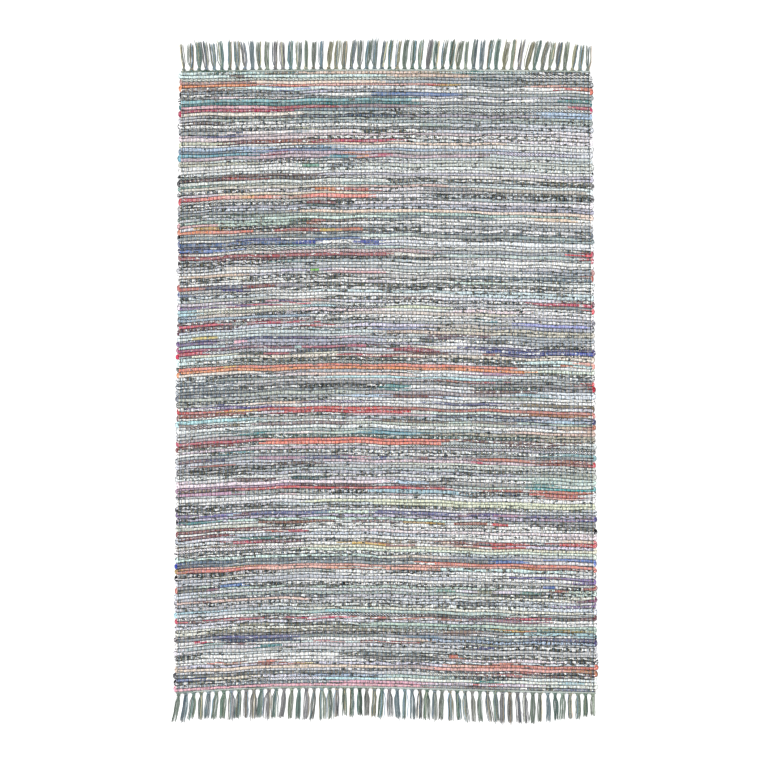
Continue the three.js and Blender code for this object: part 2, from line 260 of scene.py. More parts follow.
# Strips that stand out: the row, then each strip's span in hundredths of the width and its cloth.
# "pepper" is white cloth printed all over in black. A ~ marks a print on coloured cloth.
CHART = """
0 7-14 darkgreen~ 14-21 mint 22-28 olive~ 29-31 teal 60-66 olive 69-72 teal 77-80 green
0 85-100 pepper
1 14-18 brown 85-100 pepper
2 59-66 slate 74-80 darkteal
3 0-19 salmon 19-50 peach
4 0-17 orange 17-21 coral 22-31 coral 31-60 salmon 60-63 red 63-68 mustard 85-92 salmon
5 0-15 brown~ 26-30 periwinkle 92-93 red 95-100 rust
6 31-36 lavender
7 0-9 pepper 48-69 blue
8 0-10 black~ 17-25 charcoal~ 28-60 slate~
9 0-58 lightteal 93-100 teal
10 0-58 teal
11 0-20 pink 20-38 crimson 38-57 mauve 92-100 crimson
12 0-28 crimson 28-50 greyteal
13 0-30 cream
14 6-25 pepper 25-27 brown 27-31 slate 31-55 navy
16 2-12 darkbrown
18 14-22 pepper 30-33 yellowgreen
19 12-14 navy 26-30 grey
20 3-14 slateblue
22 0-11 yellowgreen 11-17 maroon 18-34 brick 34-52 crimson
24 22-30 charcoal~ 30-37 steel
25 0-16 steel 20-30 periwinkle 30-41 steel
26 0-20 turquoise 22-25 crimson 43-45 orange
27 35-41 turquoise 43-45 orange 46-50 hotpink
28 18-34 pepper 38-49 charcoal~
29 18-34 pepper 38-49 charcoal~
30 30-34 green
33 0-14 black~ 14-37 maroon
34 0-3 black 3-14 maroon 14-19 red 19-37 darkbrown 37-48 pepper
35 0-50 palegreen
36 0-8 green 8-30 olive~ 30-38 pepper
37 0-45 cream
38 33-38 orange 40-46 coral
39 10-46 peach
40 0-4 red 4-10 coral 10-15 salmon 15-17 mustard 17-23 coral 25-30 salmon 30-46 coral
42 9-27 pepper 31-38 darkred
43 31-38 darkteal
46 0-20 darkgreen~ 20-50 mint
48 27-31 darkgreen 31-34 rust 34-44 brown~
49 0-10 dustypink 27-31 darkgreen 31-34 rust
50 4-10 mustard 35-38 slate
51 0-10 orange 10-20 coral 25-36 red 36-40 mustard 40-46 coral
53 28-31 black
54 14-25 slateblue 33-44 blue
55 0-30 blue~ 30-35 royal 44-50 royal
56 0-12 navy~ 25-35 aqua~ 47-50 royal
57 0-12 blue~ 45-50 mint 99-100 crimson
58 0-5 darkred 98-100 red
59 0-52 crimson 98-100 crimson
60 8-25 maroon~
61 0-25 pepper 25-28 teal
64 30-32 grass 36-47 palepink 98-100 rust
65 2-16 tan 37-50 dustypink 98-100 rust
66 13-16 peach 22-29 pepper
67 2-4 navy
69 0-7 coral 7-16 indigo 17-24 darkred
70 11-16 indigo
71 0-6 slateblue 14-17 black
73 33-50 pepper 50-62 maroon~ 90-100 maroon~
74 0-15 lilac 23-26 pink 26-28 indigo 30-35 dustypink 38-50 lavender 85-100 crimson
75 0-6 purple 10-20 violet 14-17 crimson 24-27 crimson 84-88 brown 98-100 red
76 5-30 cream 50-66 yellowgreen
77 5-30 olive~ 50-66 mint
78 18-40 pepper
80 0-30 maroon~ 72-75 teal
81 0-10 crimson 17-25 crimson 28-31 crimson 80-98 periwinkle
82 0-15 maroon~ 32-35 red 40-59 lavender 76-98 lavender
83 17-25 mint 35-38 aqua 50-60 periwinkle
84 63-70 beige
85 4-10 yellow 45-55 pepper 60-75 plum~ 80-100 grey~
86 4-10 indigo 10-16 lilac 17-27 indigo 27-38 violet 40-44 pink 61-67 plum
87 0-10 violet 14-17 pink 17-50 lavender 58-63 black 70-71 black 74-79 black 80-98 grey~
88 10-60 lavender~
89 0-10 magenta 10-30 plum~ 32-47 hotpink 47-55 pepper 56-58 pink 61-65 cream 69-90 indigo~
89 90-100 indigo
90 0-10 crimson 32-47 charcoal 55-66 crimson 77-98 indigo 98-100 royal
91 15-21 black 21-27 crimson 27-31 charcoal 55-65 maroon 73-76 coral 77-87 indigo
92 40-47 crimson 50-55 brick
93 60-64 pepper 96-100 salmon
94 0-58 darkgreen~ 93-96 orange
95 0-13 coral 13-16 mustard 16-83 coral
96 0-83 orange 83-100 palegreen
97 27-32 maroon 32-50 grey~ 55-59 black 73-83 mauve 85-100 pepper
98 10-20 pepper 24-31 palepink
99 10-30 grey~ 55-57 charcoal 98-100 red
100 0-15 slate 60-63 maroon 64-70 rust 73-76 crimson 78-85 charcoal 98-100 red
101 0-15 slate~ 98-100 red
102 0-15 slate~ 50-56 teal~ 71-86 darkgreen~
103 0-30 slate~ 50-56 teal~ 71-86 maroon~
104 0-15 slate~ 81-87 aqua
105 50-62 maroon 73-87 mint
107 10-15 indigo 32-36 indigo 37-50 violet~ 63-78 indigo 82-100 brown
108 8-13 violet 13-18 indigo 18-22 violet
109 0-13 red 13-17 mustard 18-50 red 50-70 brick 70-100 coral
110 0-17 brick 26-56 red 61-77 mint 84-98 orange
111 62-74 navy 75-81 navy~ 98-100 navy
112 0-20 aqua 78-87 navy 90-98 lightblue
113 0-6 taupe 46-62 brown 67-78 taupe
114 4-14 maroon~ 14-17 olive 20-43 taupe 92-98 tan 98-100 rust
116 12-16 darkteal 46-56 lightblue
117 17-23 teal 35-45 mint 45-60 turquoise
118 17-85 darkgreen~
119 0-20 crimson 20-23 cream 23-64 coral 64-93 maroon~
120 0-17 darkred 23-65 coral 80-93 maroon~
121 1-8 black~ 53-100 charcoal~
122 91-100 pepper
123 13-17 teal 90-100 aqua
125 1-10 plum 8-12 indigo 20-30 mauve 31-41 indigo 42-45 pink 48-50 indigo 58-60 maroon
125 62-65 indigo 70-73 plum 73-84 rust 87-98 brick
126 70-73 crimson 85-98 brick 98-100 red
127 4-13 brick 21-34 maroon~ 50-85 palegreen
129 20-68 grey~ 71-80 black~ 87-93 slate
130 7-20 pepper
131 35-50 pepper
132 14-24 maroon 28-36 darkteal 63-67 black
133 83-90 teal
134 0-30 mauve 30-50 maroon 52-66 maroon 73-83 mint 86-100 teal
135 2-16 maroon 16-66 red 73-84 brick 85-99 brick
136 1-15 mauve 75-80 pepper 80-82 navy 86-97 coral
137 25-27 pink 27-31 lavender 51-53 pink 86-95 salmon
139 1-6 charcoal
141 6-14 pepper 51-70 pepper 90-98 pepper
143 0-6 violet 8-14 indigo 16-20 plum 20-35 indigo 35-38 steel 48-67 indigo 68-71 plum
143 71-77 indigo 77-83 mauve 85-90 indigo
144 90-97 mauve 95-100 indigo
145 1-10 teal
146 20-38 rust 42-54 brown~ 54-64 mustard 66-74 rust 75-79 red
147 24-35 pepper 70-76 pepper 94-100 pepper
148 0-5 darkred 5-16 darkred 16-24 maroon
149 23-26 brick 27-32 crimson
150 1-13 maroon
151 14-23 teal
152 14-21 crimson 21-30 maroon 42-60 olive~ 65-72 brick 72-75 charcoal 75-83 red 84-91 charcoal~
152 91-100 red
153 0-20 olive~ 42-50 mustard 50-57 brick 66-72 salmon 75-83 red
154 30-100 yellowgreen
155 30-100 palegreen
157 65-80 slate 87-100 blue
158 0-2 royal 2-15 steel 15-76 slate 76-84 blue
159 0-10 navy 10-55 slate 60-100 coral
160 0-3 mustard 3-15 salmon 15-18 yellow 18-22 coral 22-64 salmon 64-70 peach 70-80 salmon
160 80-87 orange 87-95 coral
161 0-3 orange 3-5 red 5-20 coral 20-39 salmon 39-42 orange 44-47 red 50-63 salmon
162 33-38 charcoal~ 50-65 pepper
163 79-88 indigo 88-91 plum 91-100 violet
164 11-17 pepper 94-100 violet
166 0-1 rust 1-7 grey 11-18 blue 24-27 black 77-87 charcoal~ 88-90 blue 98-100 rust
167 0-8 oliveblack 8-11 plum 20-22 charcoal 27-33 oliveblack 36-40 pepper 78-88 palegreen
167 90-93 brick
168 60-65 green 70-75 olive 80-85 green
170 10-38 slate~ 95-100 plum
171 6-9 maroon 42-45 pepper
172 68-76 charcoal 91-100 violet~
173 30-37 pepper 55-60 pepper
174 0-10 aqua 42-44 aqua
175 34-41 lightteal
176 19-33 black~ 57-61 maroon 62-70 oliveblack 73-80 black 82-89 crimson 89-95 charcoal
176 95-100 darkred
177 0-2 crimson 2-12 maroon 12-14 grey 14-20 crimson 20-23 pepper 23-30 maroon 33-40 crimson
177 48-50 red 50-54 brown 54-56 rust 63-67 rust 68-71 maroon 71-76 slate 76-88 plum
179 17-23 olive~
180 38-42 olive 78-81 mustard 81-84 orange 84-90 green 90-97 mustard
181 6-50 olive~ 50-62 oliveblack~ 62-70 brown
182 62-69 brown
183 3-10 slate 10-30 indigo 30-50 slate 55-63 steel 70-83 slate 83-100 indigo
184 5-8 crimson 11-30 navy 55-60 peach
185 7-10 teal 12-17 maroon 33-37 crimson 44-48 red 51-55 red 69-76 olive
186 1-10 mint 19-24 teal 70-74 indigo
187 26-29 olive
189 44-58 slate 65-67 brick
191 8-10 coral 12-16 rust 20-24 coral 43-60 pepper 75-80 coral
192 21-25 rust 27-30 rust 31-33 yellow 65-72 salmon 72-77 orange 77-100 coral
193 0-50 peach 50-60 palepink 60-92 salmon 92-100 orange
194 44-75 charcoal~ 80-85 brick 98-100 red
195 0-45 charcoal 73-80 maroon~ 80-84 brick 87-95 maroon
196 1-8 slateblue 50-66 mint 82-100 mint
197 36-50 aqua 72-77 teal 92-98 aqua
198 5-40 slate~ 40-60 pink 69-72 pepper 74-76 red
199 0-60 pink 70-75 darkbrown 91-99 slateblue
"""
CELLS = 200  # a row is laid out in this many short lengths
HUNDREDTHS = 100

COVER = (0.08, 0.32)  # how much of a printed cloth its figures take
PEPPER_COVER = (0.4, 0.64)
PEPPERED = 0.4  # the share of the printed white and pale strips that are pepper
# how dark the painted shade in a strip's creases is
CREASE_SHADE_DEPTH = (0.6, 1)
SHADE_SPREAD = 0.11  # how much lighter or darker one strip is than another of its cloth
HUE_SPREAD = 3
DARKEST = 12
LIGHTEST = 240

# How far a strip of the filling runs, as a share of the width, and how often
RUNS = [0.1, 0.25, 0.5, 0.9]
RUN_CHANCES = [0.2, 0.34, 0.28, 0.18]
RUN_STRAY = (0.6, 1.4)
LEAST_RUN = 2  # in cells
SEED_STEP = 0.618  # from row to row, so that no two rows of one strip crease alike


def linear(colour):
    """Linear light from a colour of 0 to 255."""
    share = np.asarray(colour, float) / 255
    return np.where(share <= 0.04045, share / 12.92, ((share + 0.055) / 1.055) ** 2.4)


class Strips:
    """Every rag strip: its cloth, its print, how much of it is printed and a seed of its own."""

    def __init__(self):
        self.cloth = []
        self.print = []
        self.make = []

    def add(self, name):
        pepper = name == "pepper"
        colour = np.array(CLOTHS["white" if pepper else name.rstrip("~")], float)
        dark = colour.mean() < DARK_CLOTH
        cover = 0
        if pepper or name.endswith("~"):
            cover = chance.uniform(*COVER)
        if pepper:
            cover = chance.uniform(*PEPPER_COVER)
        colour = colour.mean() + (colour - colour.mean()) * WASHED
        colour *= chance.normal(1, SHADE_SPREAD)
        colour += chance.normal(0, HUE_SPREAD, 3)
        self.cloth.append(linear(np.clip(colour, DARKEST, LIGHTEST)))
        self.print.append(linear(CHALK if dark else INK))
        self.make.append((cover, chance.uniform(*CREASE_SHADE_DEPTH), chance.uniform(0, 1)))
        return len(self.cloth) - 1


strips = Strips()


def lay_filling():
    """Runs the pale strips to and fro through all rows, and says which strip fills each cell."""
    names, shares, prints = zip(*FILLING)
    weights = np.array(shares) / sum(shares)
    path = np.empty(ROWS * CELLS, int)
    place = 0
    while place < len(path):
        pick = chance.choice(len(names), p=weights)
        name = names[pick]
        if chance.random() < prints[pick]:
            pepper = name in ("white", "pale") and chance.random() < PEPPERED
            name = "pepper" if pepper else name + "~"
        reach = chance.choice(RUNS, p=RUN_CHANCES)
        length = int(CELLS * reach * chance.uniform(*RUN_STRAY)) + LEAST_RUN
        path[place:place + length] = strips.add(name)
        place += length
    rows = path.reshape(ROWS, CELLS)
    rows[::2] = rows[::2, ::-1]
    return rows


def lay_chart(rows):
    """Lays the strips of the chart over the filling, and says which strip is their first."""
    first = len(strips.cloth)
    for line in CHART.split("\n"):
        words = line.split()
        for span, name in zip(words[1::2], words[2::2]):
            start, end = (round(int(part) * CELLS / HUNDREDTHS) for part in span.split("-"))
            rows[int(words[0]), start:end] = strips.add(name)
    return first


strip_at = lay_filling()
FIRST_CHARTED = lay_chart(strip_at)
CLOTH = np.array(strips.cloth)
PRINT = np.array(strips.print)
MAKE = np.array(strips.make)


def makes(strip, row):
    """How each face's rag is made, with a seed that differs from row to row."""
    make = MAKE[strip].copy()
    make[:, 2] = (make[:, 2] + row * SEED_STEP) % 1
    return make


# ---------------------------------------------------------------- meshes
def add_piece(name, points, faces, corners, per_face, finish):
    """A mesh piece. faces is a list of arrays, one for each number of corners; corners gives
    named maps, each a list of arrays as faces is, with two values a corner; per_face gives
    named values for each face."""
    mesh = bpy.data.meshes.new(name)
    order = np.concatenate([lot.ravel() for lot in faces]).astype(np.int32)
    totals = np.concatenate([np.full(len(lot), lot.shape[1], np.int32) for lot in faces])
    mesh.vertices.add(len(points))
    mesh.vertices.foreach_set("co", ((points + SHIFT) * METRES).astype(np.float32).ravel())
    mesh.loops.add(len(order))
    mesh.loops.foreach_set("vertex_index", order)
    mesh.polygons.add(len(totals))
    mesh.polygons.foreach_set("loop_start", (np.cumsum(totals) - totals).astype(np.int32))
    mesh.update(calc_edges=True)
    mesh.polygons.foreach_set("use_smooth", np.ones(len(totals), bool))
    for layer, lots in corners.items():
        flat = np.concatenate([np.asarray(lot, np.float32).reshape(-1, 2) for lot in lots])
        mesh.uv_layers.new(name=layer).data.foreach_set("uv", flat.ravel())
    for layer, lots in per_face.items():
        values = np.concatenate([np.asarray(lot, np.float32) for lot in lots])
        values = np.hstack([values, np.ones((len(values), 1), np.float32)])
        attribute = mesh.attributes.new(layer, "FLOAT_COLOR", "FACE")
        attribute.data.foreach_set("color", values.ravel())
    mesh.materials.append(finish)
    piece = bpy.data.objects.new(name, mesh)
    bpy.context.scene.collection.objects.link(piece)
    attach(piece, "root")
    return piece


def tube_faces(tubes, stations, sides):
    """The four-sided faces of closed tubes whose rings lie in order, and their two end caps."""
    ring = np.arange(tubes * stations * sides).reshape(tubes, stations, sides)
    here, there = ring[:, :-1], ring[:, 1:]
    walls = np.stack([here, np.roll(here, -1, 2), np.roll(there, -1, 2), there], -1)
    return walls, np.concatenate([ring[:, 0, ::-1], ring[:, -1]])


def wall_map(start, stop, low, high):
    """Corners of tube walls in a map, each as along, round: start and stop lie along the tube,
    low and high round it."""
    corners = np.broadcast_arrays(start, low, start, high, stop, high, stop, low)
    corners = np.stack(corners, -1)
    return corners.reshape(*corners.shape[:-1], 4, 2)


def cap_map(centres, sides, radius):
    """Corners of tube caps in a map: a small round spot about each centre."""
    angle = np.arange(sides) / sides * 2 * np.pi
    return centres[:, None] + np.stack([np.cos(angle), np.sin(angle)], -1) * radius


def small_cells(count, fill=0.9):
    """Lower corners and size of as many separate cells in a unit square."""
    side = math.ceil(math.sqrt(count))
    number = np.arange(count)
    corner = np.stack([number % side, number // side], -1) / side
    return corner + (1 - fill) / 2 / side, fill / side


def add_rag(name, points, faces, weave, bake, strip, row, finish):
    """A piece of rag tubes. faces, bake, strip and row hold the walls' values, then the caps'."""
    bare = np.full((*faces[1].shape, 2), (1, 0.5))
    per_face = {
        "cloth": [CLOTH[lot] for lot in strip],
        "print": [PRINT[lot] for lot in strip],
        "make": [makes(*lot) for lot in zip(strip, row)],
    }
    corners = {"weave": [weave, bare], "OFBake": bake}
    return add_piece(name, points.reshape(-1, 3), faces, corners, per_face, finish)


# ---------------------------------------------------------------- rag rows
# Shares round a tube where its sides begin and end: 0 to 1 on top from the far groove to the
# near one, and on to 2 underneath
TOP_SHARES = [(1 - y) / 2 for y, _ in SECTION[:TOP_SIDES + 1]]
UNDER_SHARES = [1, 1.25, 1.75, 2]
SIDE_STARTS = np.array(TOP_SHARES[:-1] + UNDER_SHARES[:-1])
SIDE_STOPS = np.array(TOP_SHARES[1:] + UNDER_SHARES[1:])
SPLICE_OVERLAP = 3.5  # how far the sides of a tube change cloth apart, in cells


def row_stations(row):
    """Places of one row's rings, from 0 to 1 between its ends: at splices and evenly between."""
    reach = 2 * half_width((row + 0.5) / ROWS)
    inner = (SELVEDGE_END - TURN_REACH) / (reach - 2 * TURN_REACH)
    cuts = np.flatnonzero(np.diff(strip_at[row])) + 1
    cuts = (cuts / CELLS * reach - TURN_REACH) / (reach - 2 * TURN_REACH)
    cuts = [0, inner, *[cut for cut in cuts if 2 * inner < cut < 1 - 2 * inner], 1 - inner, 1]
    parts = np.maximum(1, np.round(np.diff(cuts) * SEGMENTS).astype(int))
    while parts.sum() != SEGMENTS:
        spare = parts.sum() - SEGMENTS
        parts[np.argmax(np.diff(cuts) / parts if spare < 0 else parts)] -= np.sign(spare)
    stretches = [
        np.linspace(cut, following, count, endpoint=False)
        for cut, following, count in zip(cuts, cuts[1:], parts)
    ]
    return np.concatenate([*stretches, [1]])


def end_number(x, along):
    """How many warp ends lie between the leftmost one and x."""
    reach = half_width(along) - SELVEDGE_END
    return (x / reach + 1) / 2 * (ENDS - 1)


def row_band(share):
    """Heights in the colour map of this share round each row's tube, as rows, 1, shares."""
    top = share * ROW_TOP
    under = ROW_TOP + (share - 1) * (1 - ROW_TOP) * ROW_UNDER
    return (np.arange(ROWS)[:, None, None] + np.where(share > 1, under, top)) / ROWS


def rag_rows(finish):
    rows = np.arange(ROWS)
    place = np.array([row_stations(row) for row in rows])
    along = (rows[:, None] + 0.5) / ROWS
    x = (2 * place - 1) * (half_width(along) - TURN_REACH)
    line = np.broadcast_to(rows[:, None], x.shape)
    far, near = groove_y(line, x), groove_y(line + 1, x)
    middle, half = (far + near) / 2, (far - near) / 2 * RAG_FILL
    section = np.array(SECTION)
    points = np.empty((*x.shape, SIDES, 3))
    points[..., 0] = x[..., None]
    points[..., 1] = middle[..., None] + half[..., None] * section[:, 0]
    points[..., 2] = RAG_MIDDLE + rag_half_height(line, x)[..., None] * section[:, 1]

    walls, caps = tube_faces(ROWS, SEGMENTS + 1, SIDES)
    ends = end_number(x, along) + line % 2
    start, stop = ends[:, :-1].copy(), ends[:, 1:].copy()
    for edge in (0, -1):  # outside the outermost end the rag is bare
        start[:, edge] = stop[:, edge] = 1
    weave = wall_map(start[..., None], stop[..., None], SIDE_STARTS, SIDE_STOPS)
    across = place[..., None] * ROWS_WIDTH
    low, high = row_band(SIDE_STARTS), row_band(SIDE_STOPS)
    bake = wall_map(across[:, :-1], across[:, 1:], low, high)
    band = (np.arange(len(caps)) + 0.5) / len(caps)
    cap_centres = np.stack([np.full(len(caps), (1 + ROWS_WIDTH) / 2), band], -1)

    between = (x[:, :-1] + x[:, 1:]) / 2 / (2 * half_width(along)) + 0.5
    overlap = chance.normal(0, SPLICE_OVERLAP, (ROWS, 1, SIDES))
    cell = (between[..., None] * CELLS + overlap).astype(int).clip(0, CELLS - 1)
    strip = strip_at[rows[:, None, None], cell].ravel()
    cap_strip = np.concatenate([strip_at[:, 0], strip_at[:, -1]])
    return add_rag(
        "rag_rows", points, [walls.reshape(-1, 4), caps],
        weave, [bake, cap_map(cap_centres, SIDES, ROW_CAP)],
        [strip, cap_strip], [np.repeat(rows, SEGMENTS * SIDES), np.tile(rows, 2)], finish,
    )


# ---------------------------------------------------------------- selvedge turns
def selvedge(name, side, finish):
    """The turns of rag at one selvedge: each joins two rows, every other pair on each side."""
    first = 0 if side < 0 else 1
    upper = np.arange(first, ROWS - 1, 2)
    edge = half_width((upper + 1) / ROWS)[:, None]
    root = side * (edge - TURN_REACH - TURN_SINK)
    slack = chance.uniform(0, LOOP_UNEVENNESS, (len(upper), 1))
    inner = side * (edge - TURN_REACH)
    far, middle, near = (groove_y(upper[:, None] + below, inner) for below in (0, 1, 2))
    half = (far - near) / 4
    out = TURN_REACH + TURN_SINK - slack - half
    puff = chance.uniform(*TURN_PUFFS, (len(upper), 1))
    angle = np.linspace(0, np.pi, TURN_STATIONS)
    turn, swing = np.sin(angle), np.cos(angle)
    path_x = root + side * out * turn**TURN_SQUARENESS
    reach_y = np.where(swing > 0, far - middle, middle - near) / 2
    path_y = middle + np.sign(swing) * np.abs(swing)**TURN_SQUARENESS * reach_y
    width = half * (RAG_FILL + TURN_WIDENING * turn)
    height = RAG_HALF_HEIGHT * puff * (1 + TURN_SWELL * turn)
    section = np.array(SECTION)
    points = np.empty((len(upper), TURN_STATIONS, SIDES, 3))
    points[..., 0] = path_x[..., None] + (side * turn * width)[..., None] * section[:, 0]
    points[..., 1] = path_y[..., None] + (swing * width)[..., None] * section[:, 0]
    points[..., 2] = RAG_MIDDLE + height[..., None] * section[:, 1]

    walls, caps = tube_faces(len(upper), TURN_STATIONS, SIDES)
    step = np.arange(TURN_STATIONS)[:, None] / (TURN_STATIONS - 1) * CELL_WALLS
    twist = 1 + chance.uniform(*TURN_TWISTS, (len(upper), 1, 1)) * step
    weave = wall_map(twist[:, :-1], twist[:, 1:], SIDE_STARTS, SIDE_STOPS)
    weave[..., 0] += weave[..., 1] * TWIST_SLANT
    corner, size = small_cells(len(upper))
    reach = corner[:, 0, None, None] + size * step
    low, high = (
        corner[:, 1, None, None] + size * share / 2 for share in (SIDE_STARTS, SIDE_STOPS)
    )
    bake = wall_map(reach[:, :-1], reach[:, 1:], low, high)
    cap_centres = np.concatenate([corner + np.array(spot) * size for spot in CELL_CAPS])
    if side < 0:  # the tube runs the other way round, so its faces are turned over
        walls, caps = walls[..., ::-1], caps[:, ::-1]
        weave, bake = weave[..., ::-1, :], bake[..., ::-1, :]

    cell = 0 if side < 0 else CELLS - 1
    here, there = strip_at[upper, cell], strip_at[upper + 1, cell]
    strip = np.where((here < FIRST_CHARTED) & (there >= FIRST_CHARTED), there, here)
    wall_strip = np.repeat(strip, (TURN_STATIONS - 1) * SIDES)
    return add_rag(
        name, points, [walls.reshape(-1, 4), caps],
        weave, [bake, cap_map(cap_centres, SIDES, size * CAP_RADIUS)],
        [wall_strip, np.tile(strip, 2)], [0, 0], finish,
    )


# ---------------------------------------------------------------- warp over the rows
DYES = {
    "ochre": [(172, 162, 134), (162, 156, 132), (182, 162, 138), (174, 170, 144)],
    "sage": [(144, 150, 128), (144, 152, 124), (138, 146, 128), (150, 154, 136)],
    "blue": [(112, 138, 154), (104, 132, 152), (120, 144, 160), (112, 130, 150)],
    "green": [(68, 78, 74), (76, 86, 80), (64, 74, 72), (84, 94, 88)],
}
DYE_SHARES = [0.5, 0.2, 0.15, 0.15]
DYE_SPREAD = 0.2
FAINTEST_DYE = 0.4
DYE_WIDTH = {"ochre": 0.85, "sage": 0.9, "blue": 1.0, "green": 1.15}
WARP_ORDER = ["ochre", "sage", "blue", "blue", "green", "ochre"]  # from the left, over and over

# An over's eight points in its own map: across from -1 to 1, and along it
OVER_LAY = [(0, 0), (-1, 1), (0, 1), (1, 1), (-1, 8), (0, 8), (1, 8), (0, OVER_LENGTH)]
OVER_WALLS = [(1, 4, 5, 2), (2, 5, 6, 3)]
OVER_TIPS = [(0, 1, 2), (0, 2, 3), (7, 5, 4), (7, 6, 5)]


def warp_overs(dye, finish):
    """All short stretches of warp yarn of one dye that lie over the rag."""
    ends = np.flatnonzero([WARP_ORDER[end % len(WARP_ORDER)] == dye for end in range(ENDS)])
    end, row = (grid.ravel() for grid in np.meshgrid(ends, np.arange(ROWS), indexing="ij"))
    over = (end + row) % 2 == 0
    end, row = end[over], row[over]
    along = (row + 0.5) / ROWS
    x = (2 * end / (ENDS - 1) - 1) * (half_width(along) - SELVEDGE_END)
    x = x + WARP_WANDER * warp_waver.at(end, along) + chance.normal(0, OVER_STRAY, len(x))
    width = WARP_WIDTH * DYE_WIDTH[dye] * chance.uniform(*WARP_WIDTHS, len(x))
    if dye == "green":
        every = np.arange(ROWS)
        cord = half_width((every + 0.5) / ROWS) - CORD_INSET
        x = np.concatenate([x, -cord, cord])
        row = np.concatenate([row, every, every])
        cord_width = CORD_WIDTH * chance.uniform(*CORD_WIDTHS, 2 * ROWS)
        width = np.concatenate([width, cord_width])
    far, near = groove_y(row, x), groove_y(row + 1, x)
    top = RAG_MIDDLE + rag_half_height(row, x)
    slant = chance.normal(0, OVER_SLANT, len(x))

    def at(share, side, z):
        y = far + (near - far) * share
        return np.stack([x + side * width / 2 + slant * (share - 0.5), y, z], -1)

    tip = np.full(len(x), RAG_MIDDLE - TIP_DEPTH)
    points = [at(-OVER_DIVE, 0, tip)]
    for shoulder in (OVER_SHOULDER, 1 - OVER_SHOULDER):
        for side, rise in ((-1, EDGE_RISE), (0, YARN_RISE), (1, EDGE_RISE)):
            points.append(at(shoulder, side, top + rise))
    points.append(at(1 + OVER_DIVE, 0, tip))
    points = np.stack(points, 1)

    base = np.arange(len(x))[:, None, None] * len(OVER_LAY)
    lay = np.array(OVER_LAY, float)
    corner, size = small_cells(len(x), 0.8)
    bake = corner[:, None, :] + (lay * (0.5, 1 / OVER_LENGTH) + (0.5, 0)) * size
    dyes = linear(DYES[dye])[chance.choice(len(DYE_SHARES), len(x), p=DYE_SHARES)]
    dyes = dyes * chance.normal(1, DYE_SPREAD, (len(x), 1)).clip(FAINTEST_DYE)
    seeds = np.stack([chance.random(len(x)), np.ones(len(x)), np.zeros(len(x))], -1)
    twist = np.broadcast_to(lay, (len(x), *lay.shape))
    parts = [OVER_WALLS, OVER_TIPS]
    return add_piece(
        "warp_" + dye, points.reshape(-1, 3),
        [(base + np.array(part)).reshape(-1, len(part[0])) for part in parts],
        {"twist": [twist[:, part] for part in parts], "OFBake": [bake[:, part] for part in parts]},
        {"dye": [np.repeat(dyes, len(part), 0) for part in parts],
         "seed": [np.repeat(seeds, len(part), 0) for part in parts]},
        finish,
    )


# ---------------------------------------------------------------- yarns of the fringe
def yarns(paths, radius, dyes, patch, up=(0, 0, 1), sides=FRINGE_SIDES):
    """Round yarns along paths of (yarns, stations, 3), as the parts that join_yarns puts together.
    patch names the part of the colour map that they take."""
    count, stations, _ = paths.shape
    ahead = np.gradient(paths, axis=1)
    ahead /= np.linalg.norm(ahead, axis=-1, keepdims=True)
    side = np.cross(ahead, up)
    side /= np.linalg.norm(side, axis=-1, keepdims=True)
    top = np.cross(side, ahead)
    angle = -np.arange(sides) / sides * 2 * np.pi
    radius = np.broadcast_to(radius, (count, stations))[..., None, None]
    ring = np.cos(angle)[:, None] * side[..., None, :] + np.sin(angle)[:, None] * top[..., None, :]
    points = paths[..., None, :] + radius * ring
    walls, caps = tube_faces(count, stations, sides)

    step = np.linalg.norm(np.diff(paths, axis=1), axis=-1)
    along = np.concatenate([np.zeros((count, 1)), np.cumsum(step, 1)], 1)[..., None]
    turn = np.arange(sides + 1) / sides * 2 - 1
    twist = wall_map(along[:, :-1], along[:, 1:], turn[:-1], turn[1:])[..., ::-1]
    corner, size = small_cells(count)
    lower, scale = PATCHES[patch]
    corner, size = np.array(lower) + corner * scale, size * scale
    across = corner[:, 0, None, None] + (turn + 1) / 2 * size
    reach = corner[:, 1, None, None] + along / (along.max() * 1.1) * size
    bake = wall_map(reach[:, :-1], reach[:, 1:], across[..., :-1], across[..., 1:])[..., ::-1]
    cap_centres = np.concatenate([corner + np.array(spot[::-1]) * size for spot in CELL_CAPS])
    if dyes.ndim == 2:
        dyes = np.repeat(dyes[:, None], stations - 1, 1)
    return {
        "points": points.reshape(-1, 3),
        "walls": walls.reshape(-1, 4),
        "caps": caps,
        "twist": [twist.reshape(-1, 2), np.zeros((2 * count * sides, 2))],
        "bake": [
            bake.reshape(-1, 2), cap_map(cap_centres, sides, size * CAP_RADIUS).reshape(-1, 2),
        ],
        "dye": [
            np.repeat(dyes.reshape(-1, 3), sides, 0), np.concatenate([dyes[:, 0], dyes[:, -1]]),
        ],
    }


def join_yarns(name, lots, finish):
    """One piece from several lots of yarns."""
    base = np.cumsum([0, *[len(lot["points"]) for lot in lots]])
    faces = [lot[kind] + first for kind in ("walls", "caps") for lot, first in zip(lots, base)]
    gather = {key: [lot[key][i] for i in (0, 1) for lot in lots] for key in ("twist", "bake", "dye")}
    seeds = [np.zeros((len(lot), 3)) for lot in gather["dye"]]
    return add_piece(
        name, np.concatenate([lot["points"] for lot in lots]), faces,
        {"twist": gather["twist"], "OFBake": gather["bake"]},
        {"dye": gather["dye"], "seed": seeds}, finish,
    )


def stray(number, kind):
    """A share from 0 to 1 that differs from lock to lock, and for each kind of measure."""
    wave = np.sin(number * 12.9898 + kind * 78.233) * 43758.5453
    return wave - np.floor(wave)


